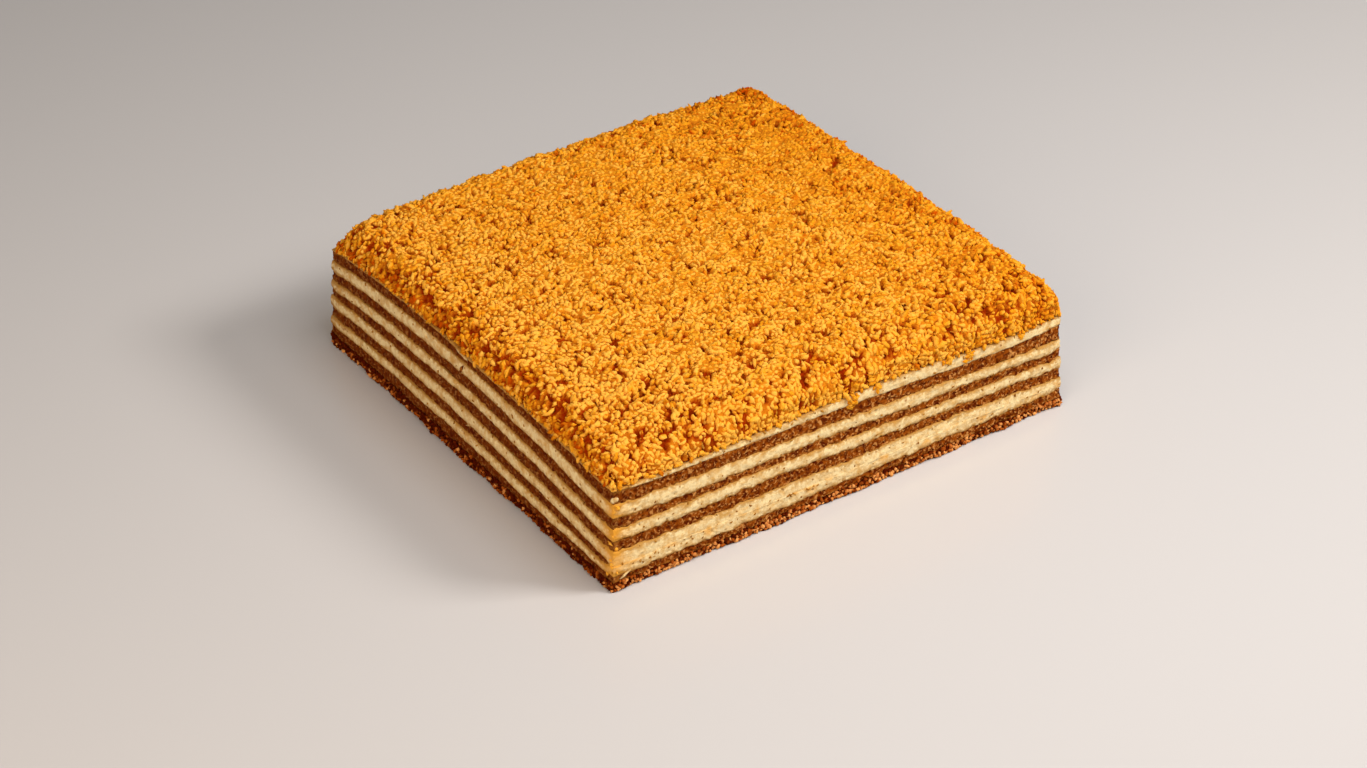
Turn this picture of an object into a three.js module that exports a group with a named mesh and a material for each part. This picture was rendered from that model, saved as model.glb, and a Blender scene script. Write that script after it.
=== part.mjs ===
// A square slab of layered honey cake, cut on all four sides. From the foot up it is a bed of crumb,
// five sponge sheets with four cream fillings between them, a thin cream coat and a blanket of crumb.
// Millimetres, +Z up, origin at the middle of the foot. -Y is the front.
import * as THREE from "three";

// Plan of the cake at the top of the coat
const LENGTH = 184; // along X, the front and the back
const WIDTH = 178; // along Y, the two ends
const FOOT_SPREAD = 2; // how much further out the cut sides reach at the foot
const CORNER_ROUND = 1.8; // radius of the upright edges
const COAT_HEIGHT = 38; // mean height of the coat, for the slope of the cut sides
const LAYER_GAP = 0.12; // clearance between one layer and the next

// Layers from the foot up. front holds a layer's thickness at even steps along the front, from the near
// corner at -X to the right one at +X, side holds it along the -X end from the near corner to the left one
// at +Y, and far is its thickness at the corner opposite the near one.
// bulge is how far the middle of the cut edge stands out, or draws in, from the plan.
const LAYERS = [
  {
    name: "crumb_bed", food: "bedCrumb", bulge: 0.3,
    front: [3.2, 3.0, 3.0, 3.0, 3.0, 3.0, 3.0], side: [3.2, 3.8, 4.3, 4.5, 4.0], far: 3.2,
  },
  {
    name: "sponge_1", food: "sponge", bulge: -0.2,
    front: [2.8, 3.0, 2.7, 2.9, 3.2, 3.4, 3.7], side: [2.8, 2.9, 4.3, 4.7, 3.8], far: 4.0,
  },
  {
    name: "cream_1", food: "cream", bulge: 0.4,
    front: [2.2, 2.6, 2.7, 2.3, 2.4, 2.0, 1.4], side: [2.2, 3.7, 3.7, 3.5, 3.5], far: 3.6,
  },
  {
    name: "sponge_2", food: "sponge", bulge: -0.2,
    front: [2.5, 2.4, 2.4, 2.2, 2.2, 2.0, 1.4], side: [2.5, 4.0, 4.1, 4.3, 4.5], far: 4.0,
  },
  {
    name: "cream_2", food: "cream", bulge: 0.4,
    front: [4.3, 2.8, 3.0, 2.5, 2.7, 2.2, 1.4], side: [4.3, 3.8, 4.6, 4.1, 4.1], far: 4.2,
  },
  {
    name: "sponge_3", food: "sponge", bulge: -0.2,
    front: [4.1, 4.6, 5.1, 4.7, 3.7, 4.0, 4.5], side: [4.1, 4.8, 4.7, 4.0, 3.5], far: 4.0,
  },
  {
    name: "cream_3", food: "cream", bulge: 0.4,
    front: [3.9, 4.4, 4.0, 4.1, 3.4, 3.6, 3.5], side: [3.9, 3.9, 3.6, 4.1, 3.4], far: 3.8,
  },
  {
    name: "sponge_4", food: "sponge", bulge: -0.2,
    front: [4.3, 3.2, 2.9, 3.8, 3.5, 3.5, 3.7], side: [4.3, 4.5, 4.5, 4.2, 4.0], far: 4.0,
  },
  {
    name: "cream_4", food: "cream", bulge: 0.4,
    front: [4.8, 4.9, 4.4, 4.1, 4.4, 3.3, 4.0], side: [4.8, 4.9, 4.5, 4.8, 3.9], far: 4.4,
  },
  {
    name: "sponge_5", food: "sponge", bulge: -0.2,
    front: [5.0, 4.7, 4.8, 4.9, 4.8, 4.9, 5.7], side: [5.0, 3.7, 3.1, 4.0, 4.3], far: 4.4,
  },
  {
    name: "cream_coat", food: "cream", bulge: 0.2,
    front: [0.8, 1.6, 2.2, 3.2, 4.2, 3.6, 3.2], side: [0.8, 0.6, 0.6, 0.6, 0.6], far: 1.6,
  },
];

// The second sponge sheet runs out to a thin edge just before the front face.
const FADING_LAYER = LAYERS.findIndex((layer) => layer.name === "sponge_2");
const FADE_LENGTH = 6; // over this distance from the front
const FADE_LEFT = 0.2; // share of its thickness that is left at the front

// Slow waves of the layers: each boundary swings by a share of the thinner layer beside it,
// least along the front and the -X end and most at the far corner.
const WAVE_SHARE = 0.14;
const WAVE_LENGTHS = [58, 47, 91]; // along X, along Y and along the diagonal
const WAVE_STEP = 0.618; // how far the waves shift, in turns, from one boundary to the next

// The blanket of crumb on top, with some values for each corner of the plan
const BLANKET_GAP = 0.5; // clearance over the coat
const CRUMB_TOP = { near: 46, right: 48.5, left: 48, far: 50.1 }; // height
const CRUMB_ROUND = { near: 6, right: 3, left: 9, far: 6 }; // radius in plan
const CRUMB_EDGE = { near: 0.42, right: 0.48, left: 0.1, far: 0.4 }; // share of its depth at the very edge
const CRUMB_DOME = 3; // how much higher it is between the corners
const CRUMB_INSET = 0.5; // from the edge of the coat
const CRUMB_SHOULDER = 5.5; // how far in from the edge it reaches its depth
const CRUMB_RELIEF = 0.7; // lumps rise and dip by up to this much
const CRUMB_FRAY = 0.4; // how unevenly the edge runs
const CRUMB_SEED = 20417;

// The crumbs at the foot
const BED_FRAY = 0.7; // they stand in and out by up to this much
const BED_SEED = 8123;

// How finely each solid is divided along each side
const LAYER_CELLS = 18;
const BED_CELLS = 36;
const BLANKET_CELLS = 48;

// Materials as they look in plain light
const FOODS = {
  sponge: { color: 0x8a4a16, roughness: 0.9, metalness: 0 },
  cream: { color: 0xf0d5a0, roughness: 0.55, metalness: 0 },
  crumb: { color: 0xe8941f, roughness: 0.85, metalness: 0 },
  bedCrumb: { color: 0x9a5018, roughness: 0.85, metalness: 0 },
};

const { lerp, smoothstep } = THREE.MathUtils;

// Seeded random numbers from 0 to 1, the same on every run
function makeRandom(seed) {
  let state = seed;
  return () => {
    state = (state + 0x6d2b79f5) | 0;
    let mixed = Math.imul(state ^ (state >>> 15), 1 | state);
    mixed = (mixed + Math.imul(mixed ^ (mixed >>> 7), 61 | mixed)) ^ mixed;
    return ((mixed ^ (mixed >>> 14)) >>> 0) / 2 ** 32;
  };
}

// Value at a share of the way along even steps, on a smooth curve through them
function curveValue(steps, share) {
  const shares = steps.map((_, i) => i / (steps.length - 1));
  return new THREE.CubicInterpolant(shares, steps, 1).evaluate(share)[0];
}

// Value at two shares of the way across the plan, from its values at the corners
function cornerValue({ near, right, left, far }, alongX, alongY) {
  return lerp(lerp(near, right, alongX), lerp(left, far, alongX), alongY);
}

// Thickness of every layer at u, v, which run from -1 to 1 across the plan: it follows its curves along
// the front and the -X end and runs straight along the other two sides.
// What the fading sheet loses goes to the cream on both sides of it.
function thicknessesAt(u, v) {
  const alongX = (u + 1) / 2;
  const alongY = (v + 1) / 2;
  const all = LAYERS.map(({ front, side, far }) => {
    const right = front.at(-1);
    const left = side.at(-1);
    const acrossY = lerp(curveValue(front, alongX), lerp(left, far, alongX), alongY);
    const acrossX = lerp(curveValue(side, alongY), lerp(right, far, alongY), alongX);
    return acrossY + acrossX - cornerValue({ near: front[0], right, left, far }, alongX, alongY);
  });
  const kept = lerp(FADE_LEFT, 1, smoothstep(alongY * WIDTH, 0, FADE_LENGTH));
  const lost = all[FADING_LAYER] * (1 - kept);
  all[FADING_LAYER] -= lost;
  all[FADING_LAYER - 1] += lost / 2;
  all[FADING_LAYER + 1] += lost / 2;
  return all;
}

// Height of the boundary under the layer with this number, or of the coat's top for the number after the last
function boundaryHeight(number, u, v) {
  const all = thicknessesAt(u, v);
  const level = all.slice(0, number).reduce((sum, one) => sum + one, 0);
  if (number < 2 || number === LAYERS.length) return level;
  const x = (u * LENGTH) / 2;
  const y = (v * WIDTH) / 2;
  const along = [x, y, x + y];
  const turns = WAVE_LENGTHS.map((length, i) => along[i] / length + WAVE_STEP * number * (i + 1));
  const swing = turns.reduce((sum, turn) => sum + Math.sin(2 * Math.PI * turn), 0) / 2;
  const hidden = ((u + 1) / 2) * ((v + 1) / 2);
  return level + swing * hidden * WAVE_SHARE * Math.min(all[number - 1], all[number]);
}

// Point of the plan at u, v and a height, set outward and with its corners rounded to a radius
function planPoint(u, v, height, outward, radius) {
  const slope = FOOT_SPREAD * (1 - height / COAT_HEIGHT);
  const half = new THREE.Vector2(LENGTH / 2 + slope + outward, WIDTH / 2 + slope + outward);
  const place = new THREE.Vector2(Math.abs(u) * half.x, Math.abs(v) * half.y);
  const past = place.clone().sub(half).addScalar(radius);
  if (past.x > 0 && past.y > 0) {
    const pulled = past.clone().setLength(Math.max(past.x, past.y));
    place.sub(past).add(pulled);
  }
  return new THREE.Vector2(Math.sign(u) * place.x, Math.sign(v) * place.y);
}

// Point on the rim of the plan; steps run anticlockwise from the near corner, cells to a side
function rimPoint(step, cells) {
  const side = Math.floor(step / cells) % 4;
  const along = (step % cells) / cells;
  const eased = (along + 0.5 - 0.5 * Math.cos(Math.PI * along)) / 2;
  const s = 2 * eased - 1;
  return [[s, -1], [1, s], [-s, 1], [-1, -s]][side];
}

// A layer is a short cylinder with its rim drawn out to the plan and its two faces bent to the boundaries.
function layerSolid(number) {
  const isBed = number === 0;
  const cells = isBed ? BED_CELLS : LAYER_CELLS;
  const steps = 4 * cells;
  const random = makeRandom(BED_SEED);
  const frays = Array.from({ length: 3 * steps }, () => (isBed ? BED_FRAY * (2 * random() - 1) : 0));
  const drum = new THREE.CylinderGeometry(1, 1, 2, steps, 2).rotateX(Math.PI / 2);
  const places = drum.getAttribute("position");
  for (let i = 0; i < places.count; i++) {
    const onAxis = Math.hypot(places.getX(i), places.getY(i)) < 0.5;
    const row = Math.round(places.getZ(i));
    const turn = Math.atan2(places.getX(i), -places.getY(i)) / (2 * Math.PI);
    const step = (Math.round(turn * steps) + steps) % steps;
    const [u, v] = onAxis ? [0, 0] : rimPoint(step, cells);
    const lower = boundaryHeight(number, u, v) + (isBed ? 0 : LAYER_GAP / 2);
    const upper = boundaryHeight(number + 1, u, v) - LAYER_GAP / 2;
    const height = lerp(lower, upper, (row + 1) / 2);
    const outward = (row === 0 ? LAYERS[number].bulge : 0) + frays[3 * step + row + 1];
    const point = planPoint(u, v, height, outward, CORNER_ROUND);
    places.setXYZ(i, point.x, point.y, height);
  }
  drum.computeVertexNormals();
  return drum;
}

// The blanket of crumb: a lumpy sheet with a skirt down to the coat and an underside
function crumbBlanket() {
  const random = makeRandom(CRUMB_SEED);
  const cells = BLANKET_CELLS;
  const sheet = new THREE.PlaneGeometry(2, 2, cells, cells);
  const places = sheet.getAttribute("position");
  const corners = [];
  const undersides = [];
  for (let i = 0; i < places.count; i++) {
    const u = places.getX(i);
    const v = places.getY(i);
    const across = [(u + 1) / 2, (v + 1) / 2];
    const underside = boundaryHeight(LAYERS.length, u, v) + BLANKET_GAP;
    const outward = CRUMB_FRAY * (random() - random()) - CRUMB_INSET;
    const point = planPoint(u, v, underside, outward, cornerValue(CRUMB_ROUND, ...across));
    const fromEdge = Math.min((1 - Math.abs(u)) * (LENGTH / 2), (1 - Math.abs(v)) * (WIDTH / 2));
    const inside = Math.min(1, fromEdge / CRUMB_SHOULDER);
    const shoulder = lerp(cornerValue(CRUMB_EDGE, ...across), 1, Math.sqrt(1 - (1 - inside) ** 2));
    const lump = CRUMB_RELIEF * (2 * random() - 1) * shoulder;
    const top = cornerValue(CRUMB_TOP, ...across) + CRUMB_DOME * (1 - (u * v) ** 2);
    corners.push(point.x, point.y, lerp(underside, top, shoulder) + lump);
    undersides.push([point.x, point.y, underside]);
  }

  // Vertices of the sheet round its rim, anticlockwise from the near corner
  const rim = [];
  for (let i = 0; i < cells; i++) rim.push(cells * (cells + 1) + i);
  for (let i = 0; i < cells; i++) rim.push((cells - i) * (cells + 1) + cells);
  for (let i = 0; i < cells; i++) rim.push(cells - i);
  for (let i = 0; i < cells; i++) rim.push(i * (cells + 1));
  rim.forEach((upper) => corners.push(...undersides[upper]));
  corners.push(...undersides[(undersides.length - 1) / 2]);

  const faces = [...sheet.index.array];
  const middle = places.count + rim.length;
  rim.forEach((upper, i) => {
    const next = (i + 1) % rim.length;
    const lower = places.count + i;
    const nextLower = places.count + next;
    faces.push(upper, lower, nextLower, upper, nextLower, rim[next]);
    faces.push(lower, middle, nextLower);
  });
  const blanket = new THREE.BufferGeometry();
  blanket.setAttribute("position", new THREE.Float32BufferAttribute(corners, 3));
  blanket.setIndex(faces);
  blanket.computeVertexNormals();
  return blanket;
}

function namedMesh(name, geometry, food) {
  const mesh = new THREE.Mesh(geometry, new THREE.MeshStandardMaterial(FOODS[food]));
  mesh.name = name;
  return mesh;
}

const cake = new THREE.Group();
cake.name = "layered_honey_cake";
LAYERS.forEach((layer, number) => cake.add(namedMesh(layer.name, layerSolid(number), layer.food)));
cake.add(namedMesh("crumb_blanket", crumbBlanket(), "crumb"));

export default cake;
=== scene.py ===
import math
import bmesh
import bpy
import numpy as np
from mathutils import Matrix, Vector, bvhtree, kdtree, noise


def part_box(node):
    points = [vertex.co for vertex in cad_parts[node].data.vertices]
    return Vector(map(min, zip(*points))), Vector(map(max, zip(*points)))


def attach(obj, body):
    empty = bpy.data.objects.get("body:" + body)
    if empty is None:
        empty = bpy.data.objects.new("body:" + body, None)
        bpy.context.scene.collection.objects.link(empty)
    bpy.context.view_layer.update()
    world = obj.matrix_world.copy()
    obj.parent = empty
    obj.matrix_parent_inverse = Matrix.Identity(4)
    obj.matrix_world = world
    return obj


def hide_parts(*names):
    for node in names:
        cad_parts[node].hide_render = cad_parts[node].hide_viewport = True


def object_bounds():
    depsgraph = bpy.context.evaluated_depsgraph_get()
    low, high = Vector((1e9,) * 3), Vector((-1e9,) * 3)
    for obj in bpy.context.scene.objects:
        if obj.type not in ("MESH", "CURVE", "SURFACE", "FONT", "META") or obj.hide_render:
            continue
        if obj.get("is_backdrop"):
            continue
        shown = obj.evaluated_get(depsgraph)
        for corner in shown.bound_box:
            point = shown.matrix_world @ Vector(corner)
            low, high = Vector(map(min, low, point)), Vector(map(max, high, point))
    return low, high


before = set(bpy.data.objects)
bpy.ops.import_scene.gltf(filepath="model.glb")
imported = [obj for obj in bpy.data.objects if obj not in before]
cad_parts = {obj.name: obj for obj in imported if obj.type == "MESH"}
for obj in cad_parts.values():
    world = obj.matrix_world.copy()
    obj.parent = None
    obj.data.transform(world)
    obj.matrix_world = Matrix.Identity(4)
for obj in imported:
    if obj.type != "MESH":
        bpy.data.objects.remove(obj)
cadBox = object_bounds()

# A square layered honey cake. Lengths in the dictionaries are millimetres, the scene is in metres.
mm = 0.001
mergeGap = 0.01  # corners of a loaded solid that lie closer than this are one
castFrom = 30.0  # a ray that looks for a cut wall starts this far outside it
upright = Vector((0, 0, 1))
scene = bpy.context.scene
stack = sorted(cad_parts, key=lambda name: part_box(name)[0][2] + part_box(name)[1][2])  # from the foot up
layerNames = stack[1:-1]  # all but the crumb bed and the crumb blanket
print("frame loaded:", ", ".join(stack))


def hexLinear(code):  # "#rrggbb" in sRGB to linear RGBA
    channels = [int(code[i:i + 2], 16) / 255 for i in (1, 3, 5)]
    return [c / 12.92 if c <= 0.04045 else ((c + 0.055) / 1.055) ** 2.4 for c in channels] + [1.0]


def addNode(tree, kind, settings=None, inputs=None):  # an input takes a value, or a socket to link
    node = tree.nodes.new(kind)
    for key, value in (settings or {}).items():
        setattr(node, key, value)
    for key, value in (inputs or {}).items():
        if isinstance(value, bpy.types.NodeSocket):
            tree.links.new(value, node.inputs[key])
        else:
            node.inputs[key].default_value = value
    return node


def emptyMaterial(name):
    material = bpy.data.materials.new(name)
    material.use_nodes = True
    material.node_tree.nodes.clear()
    return material, material.node_tree


def placePiece(name, mesh, material, slot, *nodes):  # a finished mesh becomes a piece of the cake
    piece = bpy.data.objects.new(name, mesh)
    scene.collection.objects.link(piece)
    mesh.materials.clear()
    mesh.materials.append(material)
    mesh.shade_smooth()
    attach(piece, "root")
    if nodes:
        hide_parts(*nodes)
    print(name, len(mesh.polygons), "faces")


# Camera at the photograph's angle, with the focal length and the width of the image in pixels
cameraSet = {"turn": -35.04, "rise": 33.5, "away": 1040.8, "right": -2.28, "up": -4.41,
             "focal": 2950.0, "imageWidth": 1367, "sensor": 36.0}

turn, rise = math.radians(cameraSet["turn"]), math.radians(cameraSet["rise"])
back = Vector((math.sin(turn) * math.cos(rise), -math.cos(turn) * math.cos(rise), math.sin(rise)))
sideways = Vector((math.cos(turn), math.sin(turn), 0))
upward = back.cross(sideways)
cameraData = bpy.data.cameras.new("camera")
cameraData.sensor_width = cameraSet["sensor"]
cameraData.lens = cameraSet["sensor"] * cameraSet["focal"] / cameraSet["imageWidth"]
camera = bpy.data.objects.new("camera", cameraData)
eye = back * cameraSet["away"] + sideways * cameraSet["right"] + upward * cameraSet["up"]
camera.matrix_world = Matrix.Translation(eye * mm) @ Matrix((sideways, upward, back)).transposed().to_4x4()
scene.collection.objects.link(camera)
scene.camera = camera

# Pale stone floor: honed, so it mirrors only faintly
floorLook = {"size": 6000, "colour": "#c8cbd3", "roughness": 0.24}

material, tree = emptyMaterial("honedPaleStone")
shader = addNode(tree, "ShaderNodeBsdfPrincipled", None,
                 {"Base Color": hexLinear(floorLook["colour"]), "Roughness": floorLook["roughness"]})
addNode(tree, "ShaderNodeOutputMaterial", None, {"Surface": shader.outputs[0]})
bm = bmesh.new()
bmesh.ops.create_grid(bm, x_segments=1, y_segments=1, size=floorLook["size"] / 2 * mm)
floorMesh = bpy.data.meshes.new("floor")
bm.to_mesh(floorMesh)
bm.free()
floorMesh.materials.append(material)
floor = bpy.data.objects.new("floor", floorMesh)
scene.collection.objects.link(floor)
floor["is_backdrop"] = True

# Soft studio light, strongest from the right of the front
lamps = [
    {"name": "keyLight", "at": (720, -620, 760), "size": 360, "power": 12.0, "colour": "#fff2e2"},
    {"name": "topLight", "at": (20, -230, 560), "size": 380, "power": 1.6, "colour": "#fffaf2"},
    {"name": "fillLight", "at": (-820, -420, 460), "size": 700, "power": 5.9, "colour": "#ffdfba"},
]
studioAir = {"colour": "#f4ece2", "strength": 0.2}

for lamp in lamps:
    light = bpy.data.lights.new(lamp["name"], "AREA")
    light.size = lamp["size"] * mm
    light.energy = lamp["power"]
    light.color = hexLinear(lamp["colour"])[:3]
    holder = bpy.data.objects.new(lamp["name"], light)
    holder.location = Vector(lamp["at"]) * mm
    holder.rotation_euler = (-Vector(lamp["at"])).to_track_quat("-Z", "Y").to_euler()
    scene.collection.objects.link(holder)
world = bpy.data.worlds.new("studio")
world.use_nodes = True
world.node_tree.nodes["Background"].inputs["Color"].default_value = hexLinear(studioAir["colour"])
world.node_tree.nodes["Background"].inputs["Strength"].default_value = studioAir["strength"]
scene.world = world
scene.view_settings.view_transform = "Standard"
print("camera, floor and light ready")


# In the materials, sockets 0, 6 and 7 of a Mix are its share, its first colour and its second
# Honey sponge: baked dough cut with a knife, so brown and grainy, with dark pores and lighter torn grains
def honeySponge():
    look = {"body": "#8e470a", "dark": "#521800", "grain": "#cf9350", "bleed": "#a8702c", "darkeningShare": 0.55,
            "shadeSize": 1.7, "grainSize": 1.15, "poreSize": 2.1, "bleedWidth": 0.6, "bumpDepth": 0.6}
    material, tree = emptyMaterial("honeySponge")
    coord = addNode(tree, "ShaderNodeTexCoord")
    baked = addNode(tree, "ShaderNodeTexNoise", None,
                    {"Vector": coord.outputs["Object"], "Scale": 1 / (look["shadeSize"] * mm), "Detail": 3.0})
    shade = addNode(tree, "ShaderNodeMapRange", None,
                    {"Value": baked.outputs["Fac"], "From Min": 0.36, "From Max": 0.58})
    body = addNode(tree, "ShaderNodeMix", {"data_type": "RGBA"},
                   {0: shade.outputs[0], 6: hexLinear(look["dark"]), 7: hexLinear(look["body"])})
    reach = addNode(tree, "ShaderNodeMapRange", None,
                    {"Value": baked.outputs["Fac"], "From Min": 0.35, "From Max": 0.65,
                     "To Min": 0.2 * look["bleedWidth"], "To Max": 2.2 * look["bleedWidth"]})
    edge = addNode(tree, "ShaderNodeAttribute", {"attribute_name": "edge"})
    inside = addNode(tree, "ShaderNodeMath", {"operation": "DIVIDE"},
                     {0: edge.outputs["Fac"], 1: reach.outputs[0]})
    seep = addNode(tree, "ShaderNodeMapRange", None,
                   {"Value": inside.outputs[0], "To Min": 0.85, "To Max": 0.0})
    stained = addNode(tree, "ShaderNodeMix", {"data_type": "RGBA"},
                      {0: seep.outputs[0], 6: body.outputs[2], 7: hexLinear(look["bleed"])})
    grain = addNode(tree, "ShaderNodeTexNoise", None,
                    {"Vector": coord.outputs["Object"], "Scale": 1 / (look["grainSize"] * mm), "Detail": 2.0,
                     "Distortion": 0.7})
    torn = addNode(tree, "ShaderNodeMapRange", None,
                   {"Value": grain.outputs["Fac"], "From Min": 0.53, "From Max": 0.66, "To Max": 0.85})
    grainy = addNode(tree, "ShaderNodeMix", {"data_type": "RGBA"},
                     {0: torn.outputs[0], 6: stained.outputs[2], 7: hexLinear(look["grain"])})
    pore = addNode(tree, "ShaderNodeTexVoronoi", None,
                   {"Vector": coord.outputs["Object"], "Scale": 1 / (look["poreSize"] * mm)})
    hole = addNode(tree, "ShaderNodeMapRange", None,
                   {"Value": pore.outputs["Distance"], "From Min": 0.14, "From Max": 0.34})
    colour = addNode(tree, "ShaderNodeMix", {"data_type": "RGBA"},
                     {0: hole.outputs[0], 6: hexLinear(look["dark"]), 7: grainy.outputs[2]})
    # darker on the -X end, where this is painted shade, and along the front towards that end
    darkening = addNode(tree, "ShaderNodeAttribute", {"attribute_name": "darkening"})
    darkeningAmount = addNode(tree, "ShaderNodeMath", {"operation": "MULTIPLY"},
                    {0: darkening.outputs["Fac"], 1: look["darkeningShare"]})
    darkened = addNode(tree, "ShaderNodeMix", {"data_type": "RGBA"},
                    {0: darkeningAmount.outputs[0], 6: colour.outputs[2], 7: hexLinear(look["dark"])})
    bump = addNode(tree, "ShaderNodeBump", None,
                   {"Height": grain.outputs["Fac"], "Strength": 0.9, "Distance": look["bumpDepth"] * mm})
    shader = addNode(tree, "ShaderNodeBsdfPrincipled", None,
                     {"Base Color": darkened.outputs[2], "Roughness": 0.8, "Specular IOR Level": 0.03,
                      "Normal": bump.outputs[0]})
    addNode(tree, "ShaderNodeOutputMaterial", None, {"Surface": shader.outputs[0]})
    return material


# Soured cream filling: pale and soft, smeared along by the knife, stained and flecked by the sponge beside it
def smearedCream():
    look = {"body": "#e7d4a4", "deep": "#c99f5c", "bleed": "#b08036", "smudge": "#c4913c", "speck": "#8e5314",
            "amber": "#dc9c30", "patchSize": 2.6, "smudgeSize": 5.0, "speckSize": 2.4, "wanderSize": 1.5,
            "bleedWidth": 0.95, "bumpDepth": 0.8}
    material, tree = emptyMaterial("smearedCream")
    coord = addNode(tree, "ShaderNodeTexCoord")
    patch = addNode(tree, "ShaderNodeTexNoise", None,
                    {"Vector": coord.outputs["Object"], "Scale": 1 / (look["patchSize"] * mm), "Detail": 6.0,
                     "Roughness": 0.7})
    tint = addNode(tree, "ShaderNodeMapRange", None,
                   {"Value": patch.outputs["Fac"], "From Min": 0.44, "From Max": 0.66, "To Max": 0.9})
    mottled = addNode(tree, "ShaderNodeMix", {"data_type": "RGBA"},
                      {0: tint.outputs[0], 6: hexLinear(look["body"]), 7: hexLinear(look["deep"])})
    cloud = addNode(tree, "ShaderNodeTexNoise", None,
                    {"Vector": coord.outputs["Object"], "Scale": 1 / (look["smudgeSize"] * mm),
                     "Detail": 4.0})
    dirt = addNode(tree, "ShaderNodeMapRange", None,
                   {"Value": cloud.outputs["Fac"], "From Min": 0.56, "From Max": 0.7, "To Max": 0.75})
    smudged = addNode(tree, "ShaderNodeMix", {"data_type": "RGBA"},
                      {0: dirt.outputs[0], 6: mottled.outputs[2], 7: hexLinear(look["smudge"])})
    wander = addNode(tree, "ShaderNodeTexNoise", None,
                     {"Vector": coord.outputs["Object"], "Scale": 1 / (look["wanderSize"] * mm),
                      "Detail": 3.0})
    reach = addNode(tree, "ShaderNodeMapRange", None,
                    {"Value": wander.outputs["Fac"], "From Min": 0.36, "From Max": 0.66,
                     "To Min": 0.25 * look["bleedWidth"], "To Max": 2.3 * look["bleedWidth"]})
    edge = addNode(tree, "ShaderNodeAttribute", {"attribute_name": "edge"})
    inside = addNode(tree, "ShaderNodeMath", {"operation": "DIVIDE"},
                     {0: edge.outputs["Fac"], 1: reach.outputs[0]})
    seep = addNode(tree, "ShaderNodeMapRange", None,
                   {"Value": inside.outputs[0], "To Min": 0.95, "To Max": 0.0})
    stained = addNode(tree, "ShaderNodeMix", {"data_type": "RGBA"},
                      {0: seep.outputs[0], 6: smudged.outputs[2], 7: hexLinear(look["bleed"])})
    soak = addNode(tree, "ShaderNodeAttribute", {"attribute_name": "amber"})
    soaked = addNode(tree, "ShaderNodeMix", {"data_type": "RGBA"},
                     {0: soak.outputs["Fac"], 6: stained.outputs[2], 7: hexLinear(look["amber"])})
    speck = addNode(tree, "ShaderNodeTexVoronoi", None,
                    {"Vector": coord.outputs["Object"], "Scale": 1 / (look["speckSize"] * mm)})
    chance = addNode(tree, "ShaderNodeSeparateColor", None, {0: speck.outputs["Color"]})
    size = addNode(tree, "ShaderNodeMapRange", None,  # two cells in three stay clean
                   {"Value": chance.outputs[0], "From Min": 0.66, "To Min": 0.01, "To Max": 0.3})
    ratio = addNode(tree, "ShaderNodeMath", {"operation": "DIVIDE"},
                    {0: speck.outputs["Distance"], 1: size.outputs[0]})
    dot = addNode(tree, "ShaderNodeMapRange", None,
                  {"Value": ratio.outputs[0], "From Min": 0.3, "To Min": 0.75, "To Max": 0.0})
    colour = addNode(tree, "ShaderNodeMix", {"data_type": "RGBA"},
                     {0: dot.outputs[0], 6: soaked.outputs[2], 7: hexLinear(look["speck"])})
    bump = addNode(tree, "ShaderNodeBump", None,
                   {"Height": wander.outputs["Fac"], "Strength": 0.8, "Distance": look["bumpDepth"] * mm})
    shader = addNode(tree, "ShaderNodeBsdfPrincipled", None,
                     {"Base Color": colour.outputs[2], "Roughness": 0.55, "Specular IOR Level": 0.12,
                      "Normal": bump.outputs[0]})
    addNode(tree, "ShaderNodeOutputMaterial", None, {"Surface": shader.outputs[0]})
    return material


# Toasted cake crumb: dry and dull, each grain browned a little more or less than the next
def toastedCrumb(name, *colours):  # from the lowest tone to the palest; the tone holds both browning and painted light and shade
    look = {"grainSize": 0.8, "grainShare": 0.45, "bumpDepth": 0.5}
    material, tree = emptyMaterial(name)
    coord = addNode(tree, "ShaderNodeTexCoord")
    tone = addNode(tree, "ShaderNodeAttribute", {"attribute_name": "tone"})
    grain = addNode(tree, "ShaderNodeTexNoise", None,
                    {"Vector": coord.outputs["Object"], "Scale": 1 / (look["grainSize"] * mm), "Detail": 2.0})
    browned = addNode(tree, "ShaderNodeMath", {"operation": "MULTIPLY_ADD"},
                      {0: grain.outputs["Fac"], 1: look["grainShare"], 2: -look["grainShare"] / 2})
    shade = addNode(tree, "ShaderNodeMath", {"operation": "ADD", "use_clamp": True},
                    {0: tone.outputs["Fac"], 1: browned.outputs[0]})
    base = addNode(tree, "ShaderNodeValToRGB", None, {"Fac": shade.outputs[0]})
    stops = base.color_ramp.elements
    for i, colour in enumerate(colours):  # evenly spaced, between the two stops that a new ramp has
        place = i / (len(colours) - 1)
        stop = stops[0] if i == 0 else stops[-1] if place == 1 else stops.new(place)
        stop.color = hexLinear(colour)
    bump = addNode(tree, "ShaderNodeBump", None,
                   {"Height": grain.outputs["Fac"], "Strength": 1.0, "Distance": look["bumpDepth"] * mm})
    shader = addNode(tree, "ShaderNodeBsdfPrincipled", None,
                     {"Base Color": base.outputs[0], "Roughness": 0.85, "Specular IOR Level": 0.02,
                      "Normal": bump.outputs[0]})
    addNode(tree, "ShaderNodeOutputMaterial", None, {"Surface": shader.outputs[0]})
    return material


spongeMaterial = honeySponge()
creamMaterial = smearedCream()
crumbMaterial = toastedCrumb("goldenCakeCrumb", "#b84c00", "#e29a1b", "#f2b648")
coreMaterial = toastedCrumb("packedCakeCrumb", "#902800", "#f0a020")
bedMaterial = toastedCrumb("brownCakeCrumb", "#501400", "#a8561a", "#e2a05c")
fleckMaterial = toastedCrumb("spongeFlecks", "#78460f", "#b88434")
print("materials ready")

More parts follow.
